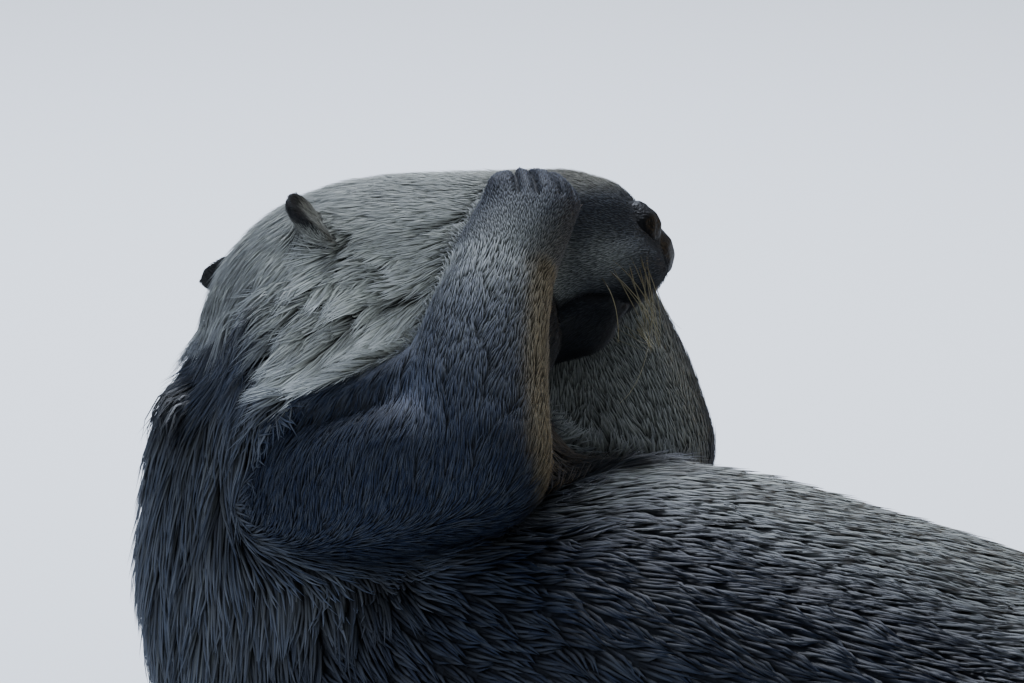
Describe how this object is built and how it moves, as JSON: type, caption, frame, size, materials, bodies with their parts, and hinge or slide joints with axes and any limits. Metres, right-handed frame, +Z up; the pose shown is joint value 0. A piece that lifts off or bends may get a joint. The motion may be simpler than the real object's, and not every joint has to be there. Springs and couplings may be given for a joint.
{
  "type": "sea otter",
  "caption": "Life-size sea otter at rest on its back, head raised and turned, forepaws pressed to its face, hind feet held up.",
  "frame": {"origin": "middle of the bounding box on the floor plane, under the animal's waist", "axes": "+X from the head to the tail, +Y the animal's left, +Z up, the side its chest faces"},
  "size_m": [1.096, 0.4652, 0.2969],
  "materials": {
    "coat_pale_grey": "wet fur, pale grey to buff, soft sheen",
    "coat_dark_brown": "wet fur, dark brown, lying in points, glossy where wet",
    "coat_short_brown": "very short dense fur, dark brown, satin",
    "skin_black": "bare black skin, finely pebbled, moist",
    "eye_dark": "dark brown eye under a clear wet surface"
  },
  "bodies": {
    "root": {"head": "coat_pale_grey", "neck": "coat_dark_brown", "chest": "coat_dark_brown", "belly": "coat_dark_brown", "hips": "coat_dark_brown", "tail": "coat_dark_brown", "nose": "skin_black", "ear_left": "coat_short_brown", "ear_right": "coat_short_brown", "eye_left": "eye_dark", "eye_right": "eye_dark", "upper_arm_left": "coat_dark_brown", "upper_arm_right": "coat_dark_brown", "forearm_left": "coat_dark_brown", "forearm_right": "coat_dark_brown", "paw_left": "coat_short_brown", "paw_right": "coat_short_brown", "leg_left": "coat_dark_brown", "leg_right": "coat_dark_brown", "hind_foot_left": "coat_short_brown", "hind_foot_right": "coat_short_brown"}
  },
  "joints": []
}
